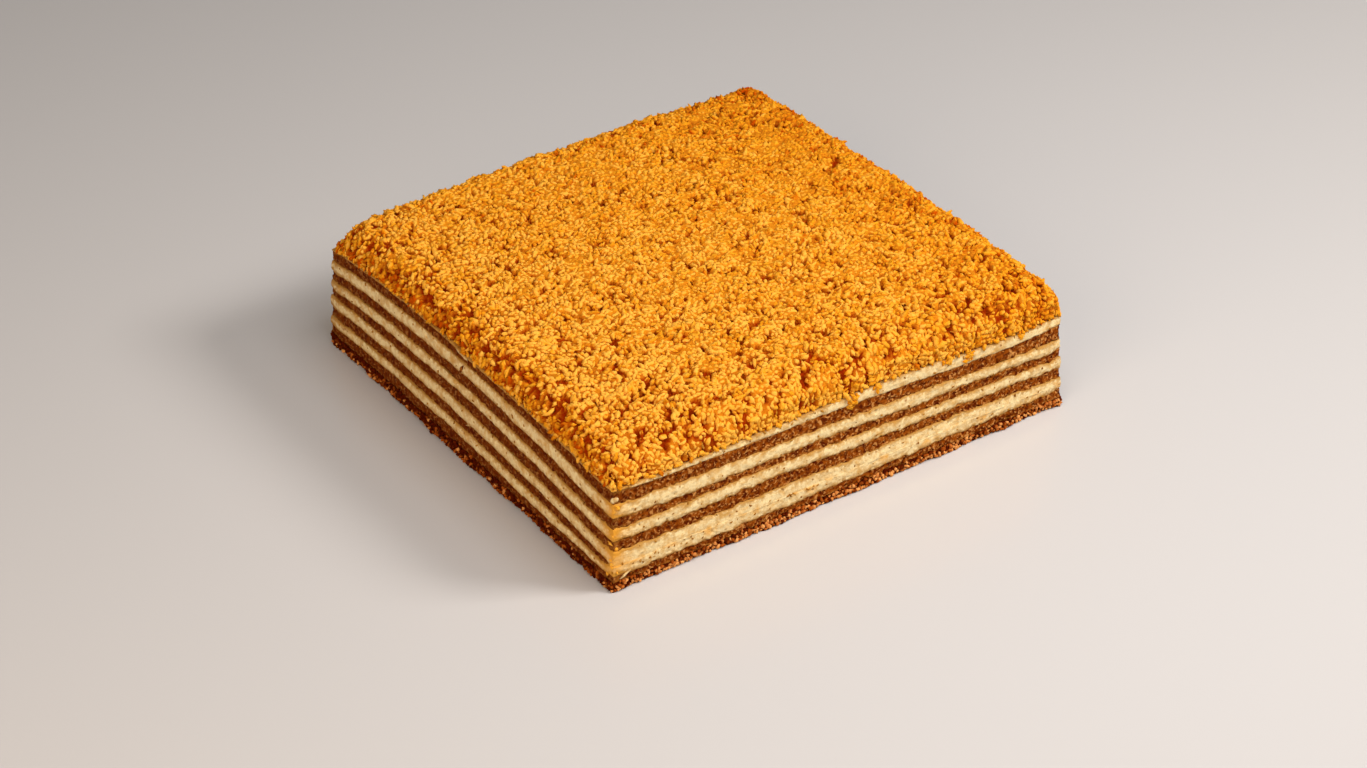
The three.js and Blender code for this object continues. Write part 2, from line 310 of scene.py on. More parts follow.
# Cut walls of the layers, divided into columns round the cake and rows
wallCut = {"columns": 2304, "rows": 11, "cornerRound": 0.8, "overlap": 0.12, "capMiddle": 20.0}
wallNotes = ("level", "thick", "edge", "amber", "darkening")  # what is kept at each corner of a wall
stainedCorners = [  # the cream is dirty by two upright edges
    {"at": (-92.0, -89.0), "reach": 3.0, "depth": 1.5},
    {"at": (-93.0, 90.0), "reach": 7.0, "depth": 1.1},
]
amberCorner = {"at": (-92.0, -89.0), "reach": 2.8}
amberStreak = {"height": 8.6, "reach": 1.5, "cloud": (6.0, 9.0, 4.0), "share": 3.0, "clear": 0.1, "most": 0.6}
frontDarkening = {"x": -93.0, "reach": 24.0, "share": 0.6}  # the front is darker towards the -X end
raggedEdge = {"coarse": 5.0, "coarseSwing": 0.7, "fine": 1.8, "fineSwing": 0.6, "coatShare": 0.4,
              "thinShare": 0.25, "fadeReach": 9.0, "endShare": 0.45, "endX": -93.0, "endReach": 10.0,
              "apart": 40.0}
spongeCut = {"recess": 0.3, "coarse": 1.8, "coarseSwing": 0.32, "fine": 0.8, "fineSwing": 0.2,
             "poreSpacing": 1.9, "poreRadius": 0.65, "poreDepth": 0.9}
creamCut = {"lip": 0.3, "swell": 0.4, "swellLength": 13.0, "drag": 0.16, "dragLength": 7.0, "dragWidth": 0.9,
            "lump": 0.16, "lumpLength": 2.4, "holeSpacing": 5.0, "holeRadius": 0.7, "holeDepth": 0.9,
            "swellSlice": 31.0, "dragSlice": 7.0}
coatSeep = {"start": 0.6, "spread": 2.0, "darkening": 1.3, "spot": 0.9, "spotSize": 5.0, "top": 0.1}
droop = {"at": (-92.5, 89.0), "reach": 9.0, "share": 0.03}  # the stack sags at the corner of -X and +Y
runOut = {"reach": 4.0, "closeOver": 0.5, "clean": 5.0}  # the second sheet runs out at the front
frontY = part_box("cream_2")[0][1] / mm


def raggedShift(boundary, place):  # how far a boundary between layers strays up or down at a place, in mm
    if boundary <= 0 or boundary >= len(stack) - 1:
        return 0.0
    share = raggedEdge["coatShare"] if boundary == len(stack) - 2 else 1.0
    if "sponge_2" in (stack[boundary - 1], stack[boundary]):  # thin at the front, so its edges keep apart
        share *= min(1.0, raggedEdge["thinShare"] + max(0.0, place.y - frontY) / raggedEdge["fadeReach"])
    fromEnd = max(0.0, place.x - raggedEdge["endX"])
    share *= min(1.0, raggedEdge["endShare"] + fromEnd / raggedEdge["endReach"])
    spot = Vector((place.x, place.y, raggedEdge["apart"] * boundary))
    return share * (raggedEdge["coarseSwing"] * noise.noise(spot / raggedEdge["coarse"])
                    + raggedEdge["fineSwing"] * noise.noise(spot / raggedEdge["fine"]))


def sag(place):  # how far the stack has sunk at a place, in mm
    return place.z * droop["share"] * math.exp(-(math.dist(place.xy, droop["at"]) / droop["reach"]) ** 2)


def closingOver(place):  # 1 at the front, where the two creams close over the edge of the second sheet
    return max(0.0, 1 - max(0.0, place.y - frontY) / runOut["reach"])


def darkeningAt(place, facing):  # 1 on the -X end, where the darkening is painted shade, and some of it along the front towards that end
    alongFront = math.exp((frontDarkening["x"] - place.x) / frontDarkening["reach"])
    return max(0.0, -facing.x) + frontDarkening["share"] * max(0.0, -facing.y) * alongFront


def amberAt(place, facing):  # how far the cream is soaked amber, by the near edge and low on the front
    amber = math.exp(-math.dist(place.xy, amberCorner["at"]) / amberCorner["reach"])
    if facing.y < -0.5:
        cloud = noise.noise(Vector([size / step for size, step in zip(place, amberStreak["cloud"])]))
        height = math.exp(-((place.z - amberStreak["height"]) / amberStreak["reach"]) ** 2)
        soaked = amberStreak["share"] * (cloud - amberStreak["clear"])
        amber += height * min(amberStreak["most"], max(0.0, soaked))
    return amber


def spongeRelief(place, facing, level):  # crumbly with small pores
    relief = spongeCut["coarseSwing"] * noise.noise(place / spongeCut["coarse"]) - spongeCut["recess"]
    relief += spongeCut["fineSwing"] * noise.noise(place / spongeCut["fine"])
    toPore = noise.voronoi(place / spongeCut["poreSpacing"])[0][0] * spongeCut["poreSpacing"]
    return relief - spongeCut["poreDepth"] * max(0.0, 1 - toPore / spongeCut["poreRadius"])


def creamRelief(place, facing, level):  # swollen between the sheets and smeared along by the knife
    along = place.x if abs(facing.y) > abs(facing.x) else place.y
    relief = creamCut["lip"] * (1 - (2 * level - 1) ** 2)
    swollen = Vector((along, place.z, creamCut["swellSlice"])) / creamCut["swellLength"]
    relief += creamCut["swell"] * noise.noise(swollen)
    streak = Vector((along / creamCut["dragLength"], place.z / creamCut["dragWidth"], creamCut["dragSlice"]))
    relief += creamCut["drag"] * noise.noise(streak)
    relief += creamCut["lump"] * noise.noise(place / creamCut["lumpLength"])
    toHole = noise.voronoi(place / creamCut["holeSpacing"])[0][0] * creamCut["holeSpacing"]
    return relief - creamCut["holeDepth"] * max(0.0, 1 - toHole / creamCut["holeRadius"])


def dividedLayer(nodeName):  # copy of a layer between its two flat faces, with its cut wall divided finely
    bm = bmesh.new()
    bm.from_mesh(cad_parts[nodeName].data)
    bmesh.ops.remove_doubles(bm, verts=bm.verts, dist=mergeGap * mm)
    levelOf, thickOf = [bm.verts.layers.float.new(note) for note in wallNotes][:2]
    middles = [v for v in bm.verts if v.co.xy.length < wallCut["capMiddle"] * mm]
    caps = {f for v in middles for f in v.link_faces}
    bmesh.ops.delete(bm, geom=[f for f in bm.faces if f not in caps], context="FACES")
    rim = [e for e in bm.edges if e.is_boundary]  # both rims, so half of it goes round once
    bmesh.ops.subdivide_edges(bm, edges=rim, cuts=2 * wallCut["columns"] // len(rim) - 1)
    bm.normal_update()
    rim = [e for e in bm.edges if e.is_boundary]
    for rimEdge in rim:
        for corner in rimEdge.verts:
            corner[levelOf] = 1.0 if rimEdge.link_faces[0].normal.z > 0 else 0.0
    wallEdges = {e for f in bmesh.ops.bridge_loops(bm, edges=rim)["faces"] for e in f.edges}
    rising = [e for e in bm.edges if e in wallEdges and e.verts[0][levelOf] != e.verts[1][levelOf]]
    for wallEdge in rising:
        for end in wallEdge.verts:
            end[thickOf] = wallEdge.calc_length() / mm
    bmesh.ops.subdivide_edges(bm, edges=rising, cuts=wallCut["rows"] - 1, use_grid_fill=True)
    bmesh.ops.recalc_face_normals(bm, faces=bm.faces)
    return bm


def roundCorners(wall, half):  # pull the upright corners of a wall in to a small radius
    radius = wallCut["cornerRound"]
    for v in wall:
        past = Vector((abs(v.co.x / mm) - half.x + radius, abs(v.co.y / mm) - half.y + radius))
        if past.x > 0 and past.y > 0 and past.length > radius:
            pulled = past * (radius / past.length)
            v.co.x = math.copysign((half.x - radius + pulled.x) * mm, v.co.x)
            v.co.y = math.copysign((half.y - radius + pulled.y) * mm, v.co.y)


def layerShell(nodeName, reliefAt, overlap):  # copy of a layer with its cut wall roughened
    number = stack.index(nodeName)
    bm = dividedLayer(nodeName)
    levelOf, thickOf, edgeOf, amberOf, darkeningOf = (bm.verts.layers.float[note] for note in wallNotes)
    wall = [v for v in bm.verts if v[thickOf] > 0]
    roundCorners(wall, Vector(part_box(nodeName)[1]) / mm)
    bm.normal_update()
    shifts = []
    for v in wall:
        place = v.co / mm
        facing = Vector((v.normal.x, v.normal.y, 0)).normalized()
        lower = raggedShift(number, place) - (overlap if number else 0)
        upper = raggedShift(number + 1, place) + overlap
        level, closed = v[levelOf], closingOver(place)
        fromBelow, fromAbove = level * v[thickOf], (1 - level) * v[thickOf]
        if nodeName == "cream_1":  # the two creams beside the second sheet meet as one at the front
            upper += runOut["closeOver"] * closed
            fromAbove += runOut["clean"] * closed
            level *= 1 - closed / 2
        elif nodeName == "cream_2":
            lower -= runOut["closeOver"] * closed
            fromBelow += runOut["clean"] * closed
            level += (1 - level) * closed / 2
        v[edgeOf] = min(fromBelow, fromAbove)
        for stain in stainedCorners:
            v[edgeOf] -= stain["depth"] * math.exp(-math.dist(place.xy, stain["at"]) / stain["reach"])
        v[amberOf] = amberAt(place, facing)
        v[darkeningOf] = darkeningAt(place, facing)
        lift = Vector((0, 0, lower + (upper - lower) * v[levelOf] - sag(place)))
        shifts.append((facing * reliefAt(place, facing, level) + lift) * mm)
    for v, shift in zip(wall, shifts):
        v.co += shift
    if nodeName == "cream_coat":  # little seeps into the coat, but the -X end is brown with a few pale spots
        for v in wall:
            spot = coatSeep["spot"] * noise.noise(v.co / mm / coatSeep["spotSize"])
            seep = coatSeep["start"] + coatSeep["spread"] * v[edgeOf] + (spot - coatSeep["darkening"]) * v[darkeningOf]
            v[edgeOf] = min(seep, coatSeep["top"] + (1 - v[levelOf]) * v[thickOf])  # crumb soaks into its top
    mesh = bpy.data.meshes.new(nodeName)
    bm.to_mesh(mesh)
    bm.free()
    return mesh


layerMeshes = {}
for name in layerNames:
    if name.startswith("sponge"):
        layerMeshes[name] = layerShell(name, spongeRelief, 0.0)
        placePiece("spongeSheet_" + name[-1], layerMeshes[name], spongeMaterial, "sponge", name)
    else:
        layerMeshes[name] = layerShell(name, creamRelief, wallCut["overlap"])
        placePiece("creamFill_" + name.split("_")[1], layerMeshes[name], creamMaterial, "cream", name)

corners = [v.co / mm for mesh in layerMeshes.values() for v in mesh.vertices]
starts = np.cumsum([0] + [len(mesh.vertices) for mesh in layerMeshes.values()])
sides = [[int(start) + i for i in face.vertices] for start, mesh in zip(starts, layerMeshes.values())
         for face in mesh.polygons]
walls = bvhtree.BVHTree.FromPolygons(corners, sides)  # to set crumbs on the cut walls
print("layers ready")

# Core of the crumb blanket: packed crumb with lumps and pits
blanket = {"cuts": 5, "raise": 0.5, "lumpSize": 4.2, "lumpRise": 0.7, "lumpMiddle": 0.5,
           "swayLength": 9.0, "sway": 0.3, "smoothing": 0.5, "flank": 4.0,
           "frontReach": 30.0, "endReach": 24.0, "nearEnd": 1.6, "farEnd": 0.25, "mostRim": 1.15}
facingUp = {"smoothed": 0.3, "divided": -0.5, "shaped": -0.3}  # least z of a normal for each step
coreTone = {"base": 0.82, "lump": 0.4, "rim": 0.15, "pit": 1.2}
pitForm = {"count": 2800, "radius": (0.65, 1.2), "rimGrowth": (0.85, 0.14), "chain": (1, 5), "turn": 0.8,
           "step": 1.2, "depth": 2.4, "margin": 2.0, "chance": (0.5, 0.42), "nearest": 4,
           "rimCount": 220, "rimWidth": (0.3, 5.0), "seed": 311}
wornCorners = [
    {"at": (-94.0, 91.0), "reach": 7.0, "drop": 0.75},
    {"at": (94.0, 91.0), "reach": 6.0, "drop": 0.2},
]
low, high = (Vector(corner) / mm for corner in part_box("crumb_blanket"))
dice = np.random.default_rng(pitForm["seed"])


def nearRim(x, y):  # how close a place on top is to the front, the -X end or the +X end, 1 at the edge
    near = math.exp((low.y - y) / blanket["frontReach"])
    near += blanket["nearEnd"] * math.exp((low.x - x) / blanket["endReach"])
    return min(blanket["mostRim"], near + blanket["farEnd"] * math.exp((x - high.x) / blanket["endReach"]))


pits = []
while len(pits) < pitForm["count"]:
    x = dice.uniform(low.x + pitForm["margin"], high.x - pitForm["margin"])
    y = dice.uniform(low.y + pitForm["margin"], high.y - pitForm["margin"])
    if dice.random() > pitForm["chance"][0] + pitForm["chance"][1] * nearRim(x, y):
        continue
    heading = dice.uniform(0, 2 * math.pi)
    for _ in range(dice.integers(*pitForm["chain"])):  # a pit is a short crooked row of hollows
        growth = pitForm["rimGrowth"][0] + pitForm["rimGrowth"][1] * nearRim(x, y)
        radius = dice.uniform(*pitForm["radius"]) * growth
        pits.append((x, y, radius))
        heading += dice.uniform(-pitForm["turn"], pitForm["turn"])
        x += pitForm["step"] * radius * math.cos(heading)
        y += pitForm["step"] * radius * math.sin(heading)
for y in dice.uniform(low.y, high.y, pitForm["rimCount"]):  # and the -X rim is broken away
    pits.append((low.x + dice.uniform(*pitForm["rimWidth"]), y, dice.uniform(*pitForm["radius"])))
pitTree = kdtree.KDTree(len(pits))
for i, (x, y, radius) in enumerate(pits):
    pitTree.insert(Vector((x, y, 0)), i)
pitTree.balance()

# Cracks part the crumb into clusters, wider towards the edges and closed in places
cracks = {"cluster": 5.0, "bend": 1.4, "bendSize": 3.0, "width": 0.15, "rimWidth": 0.3, "leastWidth": 0.1,
          "swing": 1.1, "swingSize": 7.0, "share": 0.5, "bendSeed": 3}
noise.seed_set(cracks["bendSeed"])  # vector noise would follow the clock without it


def crackAt(spot):  # 0 outside the cracks, highest along the middle of one
    bent = spot + cracks["bend"] * noise.noise_vector(spot / cracks["bendSize"])
    first, second = noise.voronoi(Vector((bent.x, bent.y, 0)) / cracks["cluster"])[0][:2]
    width = cracks["width"] + cracks["rimWidth"] * min(1.0, nearRim(spot.x, spot.y))
    width += cracks["swing"] * noise.noise(spot / cracks["swingSize"])
    gap = (second - first) * cracks["cluster"]
    return cracks["share"] * max(0.0, 1 - gap / max(width, cracks["leastWidth"]))


def pitAt(place):  # 0 outside the pits and cracks, 1 at the middle of one
    spot = Vector((place[0], place[1], 0))
    for axis in (0, 1):  # the pattern of the top runs on down the two far flanks
        past = 1 - (high[axis] - place[axis]) / blanket["flank"]
        spot[axis] += max(0.0, past) * (high.z - place[2])
    nearest = pitTree.find_n(spot, pitForm["nearest"])
    return max(crackAt(spot), *(1 - (gap / pits[i][2]) ** 2 for _, i, gap in nearest))


bm = bmesh.new()
bm.from_mesh(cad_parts["crumb_blanket"].data)
bmesh.ops.remove_doubles(bm, verts=bm.verts, dist=mergeGap * mm)
bm.normal_update()
topSkin = [v for v in bm.verts if any(f.normal.z > facingUp["smoothed"] for f in v.link_faces)]
skinEdges = [e for e in bm.edges if any(f.normal.z > facingUp["divided"] for f in e.link_faces)]
bmesh.ops.smooth_vert(bm, verts=topSkin, factor=blanket["smoothing"], use_axis_z=True)
bmesh.ops.subdivide_edges(bm, edges=skinEdges, cuts=blanket["cuts"], use_grid_fill=True)
toneOf = bm.verts.layers.float.new("tone")
bm.normal_update()
shifts = []
topVerts = [v for v in bm.verts if v.normal.z > facingUp["shaped"]]
for v in topVerts:
    place = v.co / mm
    toLump = noise.voronoi(place / blanket["lumpSize"])[0][0]
    rise = blanket["lumpRise"] * (blanket["lumpMiddle"] - toLump)
    rise += blanket["sway"] * noise.noise(place / blanket["swayLength"])
    pit = pitAt(place)
    # painted shade: darker between the lumps, towards the rims and most in the pits
    tone = coreTone["base"] - coreTone["lump"] * toLump - coreTone["rim"] * nearRim(place.x, place.y)
    v[toneOf] = max(0.0, tone - coreTone["pit"] * pit)
    shifts.append(v.normal * (rise + blanket["raise"] - pitForm["depth"] * pit) * mm)
for v, shift in zip(topVerts, shifts):
    v.co += shift
for v in bm.verts:
    v.co.z -= sag(v.co / mm) * mm
for worn in wornCorners:
    base = min(v.co.z for v in bm.verts if math.dist(v.co.xy / mm, worn["at"]) < 2 * worn["reach"])
    for v in topVerts:
        away = math.dist(v.co.xy / mm, worn["at"]) / worn["reach"]
        v.co.z -= (v.co.z - base) * worn["drop"] * math.exp(-away ** 2)
coreMesh = bpy.data.meshes.new("crumbCore")
bm.to_mesh(coreMesh)
bm.free()
placePiece("crumbCore", coreMesh, coreMaterial, "crumb", "crumb_blanket")

# Single crumbs, about 1 thick before they get their size
crumbForm = {"sides": 6, "uneven": (0.65, 1.35), "girth": (0.8, 1.2), "bend": 0.35}


def crumbShapes(count, lengths, seed):  # short uneven ridges of crumb, bent sideways
    dice = np.random.default_rng(seed)
    bm = bmesh.new()
    bmesh.ops.create_uvsphere(bm, u_segments=crumbForm["sides"], v_segments=crumbForm["sides"], radius=0.5)
    bmesh.ops.triangulate(bm, faces=bm.faces)
    ball = np.array([v.co.zxy[:] for v in bm.verts])  # the poles are the ends
    faces = np.array(sorted([v.index for v in f.verts] for f in bm.faces))
    bm.free()
    shapes = []
    for _ in range(count):
        girth = dice.uniform(*crumbForm["girth"], 3) * (dice.uniform(*lengths), 1, 1)
        ridge = ball * dice.uniform(*crumbForm["uneven"], (len(ball), 1)) * girth
        ridge[:, 1] += dice.uniform(-crumbForm["bend"], crumbForm["bend"]) * ridge[:, 0] ** 2
        shapes.append((ridge - ridge.mean(axis=0), faces))
    return shapes


def scatterSpots(mesh, look, dice, wanted):  # evenly strewn spots on the wanted faces of a mesh, with normals
    corners = np.empty(len(mesh.vertices) * 3)
    mesh.vertices.foreach_get("co", corners)
    corners = corners.reshape(-1, 3) / mm
    mesh.calc_loop_triangles()
    index = np.empty(len(mesh.loop_triangles) * 3, dtype=int)
    mesh.loop_triangles.foreach_get("vertices", index)
    a, b, c = (corners[index.reshape(-1, 3)[:, i]] for i in range(3))
    cross = np.cross(b - a, c - a)
    area = np.linalg.norm(cross, axis=1)
    normals = cross / np.maximum(area, 1e-9)[:, None]
    weight = np.where(wanted(normals), area, 0)
    pick = dice.choice(len(area), look["tries"], p=weight / weight.sum())
    r = np.sqrt(dice.random((look["tries"], 1)))
    s = dice.random((look["tries"], 1))
    points = a[pick] * (1 - r) + b[pick] * r * (1 - s) + c[pick] * r * s
    taken, kept = {}, []  # a spot is kept where no kept one is closer than the spacing
    around = [(i, j, k) for i in (-1, 0, 1) for j in (-1, 0, 1) for k in (-1, 0, 1)]
    for i, point in enumerate(points.tolist()):
        key = [int(value // look["spacing"]) for value in point]
        near = [spot for d in around for spot in taken.get((key[0] + d[0], key[1] + d[1], key[2] + d[2]), ())]
        if all(math.dist(point, spot) >= look["spacing"] for spot in near):
            taken.setdefault(tuple(key), []).append(point)
            kept.append(i)
    return points[kept], normals[pick[kept]]


def joinCrumbs(name, shapes, spots, normals, sizes, tones, dice, paintedShadeRise=0.3):  # one mesh of many crumbs
    verts, faces, tone = [], [], []
    start = 0
    choice = dice.integers(0, len(shapes), len(spots))
    spin = dice.uniform(0, 2 * math.pi, len(spots))
    for which, spot, normal, size, shade, angle in zip(choice, spots, normals, sizes, tones, spin):
        shape, shapeFaces = shapes[which]
        stand = Vector(normal).to_track_quat("Z", "Y").to_matrix() @ Matrix.Rotation(angle, 3, "Z")
        verts.append(shape @ np.array(stand).T * size + spot)
        faces.append(shapeFaces + start)
        tone.append(shade + paintedShadeRise * shape[:, 2])  # painted light and shade: paler on top, darker low down where it sits in the rest
        start += len(shape)
    mesh = bpy.data.meshes.new(name)
    mesh.from_pydata(np.concatenate(verts) * mm, [], np.concatenate(faces))
    toneData = mesh.attributes.new("tone", "FLOAT", "POINT").data
    toneData.foreach_set("value", np.concatenate(tone).astype(np.float32))
    return mesh


def between(span, share):  # the first of a span at 0, the second at 1
    return span[0] + (span[1] - span[0]) * share


# Crumbs over the blanket, looser towards the front and the ends
topCrumbs = {"spacing": 1.34, "tries": 140000, "lowestFacing": -0.2, "pieces": 6, "seed": 77,
             "shapes": 48, "lengths": (1.0, 2.4), "shapeSeed": 5, "size": (1.35, 2.05), "sizeBias": 1.6,
             "lift": (-0.26, -0.19), "liftSwing": 0.15, "smoothPatch": 8.0, "flankLift": 0.06,
             "bareCorner": (-94.0, 91.0), "bareReach": 5.5, "deepest": 0.4}
topTone = {"crumb": (0.76, 0.1), "paintedShadeRise": 0.62, "deepShade": 0.6, "patch": 0.22, "patchSize": 6.0,
           "farShade": 0.32, "endShade": 0.34, "frontShade": 0.12, "endGlow": 0.2, "endReach": 45.0,
           "rimShade": 0.65, "rimSpread": 0.35, "rimReach": 4.0, "flankSpread": 0.2,
           "tipGlow": 0.4, "tipReach": 7.0}
dice = np.random.default_rng(topCrumbs["seed"])
spots, normals = scatterSpots(coreMesh, topCrumbs, dice,
                              lambda normal: normal[:, 2] > topCrumbs["lowestFacing"])
depth = np.array([pitAt(spot) for spot in spots])
kept = np.hypot(*(spots[:, :2] - topCrumbs["bareCorner"]).T) > topCrumbs["bareReach"]
kept &= depth < topCrumbs["deepest"]
spots, normals, depth = spots[kept], normals[kept], depth[kept]
sizes = between(topCrumbs["size"], dice.random(len(spots)) ** topCrumbs["sizeBias"])
loose = np.array([min(1.0, nearRim(x, y)) for x, y, _ in spots])
lift = between(topCrumbs["lift"], loose)
lift += [topCrumbs["liftSwing"] * noise.noise(Vector(spot) / topCrumbs["smoothPatch"]) for spot in spots]
turned = np.clip(np.maximum(normals[:, 0], normals[:, 1]), 0, 1) ** 2  # 1 on the two far flanks
lift += topCrumbs["flankLift"] * turned
spots = spots + normals * (lift * sizes)[:, None]

fromFront, fromNearEnd, fromFarEnd = spots[:, 1] - low.y, spots[:, 0] - low.x, high.x - spots[:, 0]
# painted shade: darker in the pits, towards the far side, the +X end and the front; painted light: paler
# towards the -X end and most at its front tip
tones = dice.normal(*topTone["crumb"], len(spots)) - topTone["deepShade"] * depth
tones += [topTone["patch"] * noise.noise(Vector(spot) / topTone["patchSize"]) for spot in spots]
tones -= topTone["farShade"] * fromFront / (high.y - low.y)
tones -= topTone["endShade"] * np.exp(-fromFarEnd / topTone["endReach"])
tones -= topTone["frontShade"] * np.exp(-fromFront / topTone["endReach"])
tones += topTone["endGlow"] * np.exp(-fromNearEnd / topTone["endReach"])
rimShare = np.exp(-fromNearEnd / topTone["rimReach"])  # browner and more mixed along the -X rim
tones -= rimShare * (topTone["rimShade"] + dice.normal(0, topTone["rimSpread"], len(spots)))
tones += turned * dice.normal(0, topTone["flankSpread"], len(spots))
tones += topTone["tipGlow"] * np.exp(-np.hypot(fromNearEnd, fromFront) / topTone["tipReach"])
shapes = crumbShapes(topCrumbs["shapes"], topCrumbs["lengths"], topCrumbs["shapeSeed"])
for part, chosen in enumerate(np.array_split(dice.permutation(len(spots)), topCrumbs["pieces"])):
    name = "goldenCrumbs_%d" % (part + 1)
    mesh = joinCrumbs(name, shapes, spots[chosen], normals[chosen], sizes[chosen], tones[chosen], dice,
                      topTone["paintedShadeRise"])
    placePiece(name, mesh, crumbMaterial, "crumb")

# Crumbs that hang over the rim of the coat
rimCrumbs = {"count": 1000, "size": (0.7, 1.6), "outward": (-1.6, 0.35), "upward": (0.2, 1.6),
             "tone": (0.5, 0.2), "topLevel": 0.99, "halfSide": 90.0, "tilt": 0.4, "wallsAt": (89.0, 86.0),
             "seed": 41}
dice = np.random.default_rng(rimCrumbs["seed"])
coat = layerMeshes["cream_coat"]
levels = np.empty(len(coat.vertices))
coat.attributes["level"].data.foreach_get("value", levels)
rimPlaces = np.array([v.co for v in coat.vertices])[levels > rimCrumbs["topLevel"]] / mm
rimPlaces = rimPlaces[np.hypot(*(rimPlaces[:, :2] - topCrumbs["bareCorner"]).T) > topCrumbs["bareReach"]]
spots = rimPlaces[dice.integers(0, len(rimPlaces), rimCrumbs["count"])]
normals = np.column_stack([spots[:, :2] / rimCrumbs["halfSide"], np.full(len(spots), rimCrumbs["tilt"])])
offset = dice.uniform(*rimCrumbs["outward"], len(spots))
for axis, wallAt in enumerate(rimCrumbs["wallsAt"]):  # outward from the wall that a spot is on
    spots[:, axis] += offset * np.sign(spots[:, axis]) * (np.abs(spots[:, axis]) > wallAt)
spots[:, 2] += dice.uniform(*rimCrumbs["upward"], len(spots))
sizes = dice.uniform(*rimCrumbs["size"], len(spots))
tones = dice.normal(*rimCrumbs["tone"], len(spots))
mesh = joinCrumbs("rimCrumbs", shapes, spots, normals, sizes, tones, dice)
placePiece("rimCrumbs", mesh, crumbMaterial, "crumb")

# Crumb bed at the foot
footCrumbs = {"spacing": 1.0, "tries": 26000, "steepest": 0.7, "size": (0.8, 1.4), "lift": 0.25,
              "clear": 0.75, "shapes": 24, "lengths": (0.9, 1.4), "shapeSeed": 9, "tone": (0.6, 0.38),
              "shadedEnd": 0.5, "endFacing": -0.5, "darkFrom": 2.6, "darkTop": 0.4, "seed": 19}
bedMesh = layerShell("crumb_bed", spongeRelief, 0.0)
placePiece("crumbBed", bedMesh, bedMaterial, "bed_crumb", "crumb_bed")
dice = np.random.default_rng(footCrumbs["seed"])
spots, normals = scatterSpots(bedMesh, footCrumbs, dice,
                              lambda normal: np.abs(normal[:, 2]) < footCrumbs["steepest"])
sizes = dice.uniform(*footCrumbs["size"], len(spots))
spots = spots + normals * (footCrumbs["lift"] * sizes)[:, None]
spots[:, 2] = np.maximum(spots[:, 2], footCrumbs["clear"] * sizes)
tones = dice.normal(*footCrumbs["tone"], len(spots))
# painted shade: darker on the -X end
tones -= footCrumbs["shadedEnd"] * (normals[:, 0] < footCrumbs["endFacing"])
tones -= footCrumbs["darkTop"] * (spots[:, 2] > footCrumbs["darkFrom"])
footShapes = crumbShapes(footCrumbs["shapes"], footCrumbs["lengths"], footCrumbs["shapeSeed"])
mesh = joinCrumbs("footCrumbs", footShapes, spots, normals, sizes, tones, dice)
for v in mesh.vertices:  # the lowest are flat where the cake stands
    v.co.z = max(v.co.z, 0)
placePiece("footCrumbs", mesh, bedMaterial, "bed_crumb")

# Flecks of sponge and crumb stuck on the cream, and streaks of the second sheet along the front
flecks = {"spacing": 5.5, "tries": 9000, "steepest": 0.6, "size": (0.3, 0.75), "tone": (0.1, 0.9), "seed": 53,
          "shapes": 16, "lengths": (1.0, 2.0), "shapeSeed": 15,
          "streaks": 24, "streakX": (-88.0, -15.0), "streakZ": (7.6, 9.8), "streakSize": (0.35, 0.7)}
dice = np.random.default_rng(flecks["seed"])
fleckSpots, fleckNormals = [], []
for name in layerNames:
    if name.startswith("cream"):
        spots, normals = scatterSpots(layerMeshes[name], flecks, dice,
                                      lambda normal: np.abs(normal[:, 2]) < flecks["steepest"])
        fleckSpots.append(spots)
        fleckNormals.append(normals)
fleckSizes = [dice.uniform(*flecks["size"], sum(len(spots) for spots in fleckSpots))]
for _ in range(flecks["streaks"]):
    start = Vector((dice.uniform(*flecks["streakX"]), low.y - castFrom, dice.uniform(*flecks["streakZ"])))
    spot, facing = walls.ray_cast(start, Vector((0, 1, 0)))[:2]
    fleckSpots.append([spot])
    fleckNormals.append([facing])
fleckSizes.append(dice.uniform(*flecks["streakSize"], flecks["streaks"]))
spots, normals, sizes = (np.concatenate(part) for part in (fleckSpots, fleckNormals, fleckSizes))
tones = dice.uniform(*flecks["tone"], len(spots))
fleckShapes = crumbShapes(flecks["shapes"], flecks["lengths"], flecks["shapeSeed"])
mesh = joinCrumbs("wallFlecks", fleckShapes, spots, normals, sizes, tones, dice)
placePiece("wallFlecks", mesh, fleckMaterial, "sponge")

# Crumbs caught on the near upright edge, and tongues of crumb that hang over the coat at the front
caughtCrumbs = {"count": 9, "height": (5.0, 33.0), "at": (-92.0, -89.5), "reach": 1.0, "size": (0.7, 1.3),
                "tone": (0.8, 0.1), "seed": 61}
tongues = {"places": [(1.0, 4.2), (51.0, 2.8), (12.0, 1.4), (42.0, 1.2), (74.0, 1.2)],  # x and length
           "perLength": 5, "width": 1.1, "size": (0.9, 1.6), "tone": (0.5, 0.15), "rimBand": 8.0}
dice = np.random.default_rng(caughtCrumbs["seed"])
aims = []
inward = Vector((1, 1, 0)).normalized()
along = Vector((1, -1, 0)).normalized()
for _ in range(caughtCrumbs["count"]):
    middle = Vector((*caughtCrumbs["at"], dice.uniform(*caughtCrumbs["height"])))
    aim = middle + dice.normal(0, caughtCrumbs["reach"]) * along
    aims.append((aim, inward, dice.uniform(*caughtCrumbs["size"]), dice.normal(*caughtCrumbs["tone"])))
frontRim = rimPlaces[rimPlaces[:, 1] < low.y + tongues["rimBand"]]
for x, length in tongues["places"]:
    top = frontRim[np.argmin(np.abs(frontRim[:, 0] - x)), 2]
    for _ in range(round(length * tongues["perLength"])):
        drop = length * dice.random()
        aim = Vector((x + dice.normal(0, tongues["width"]), low.y, top - drop))
        aims.append((aim, Vector((0, 1, 0)), dice.uniform(*tongues["size"]), dice.normal(*tongues["tone"])))
hits = [(*walls.ray_cast(aim - castFrom * heading, heading)[:2], size, tone)
        for aim, heading, size, tone in aims]
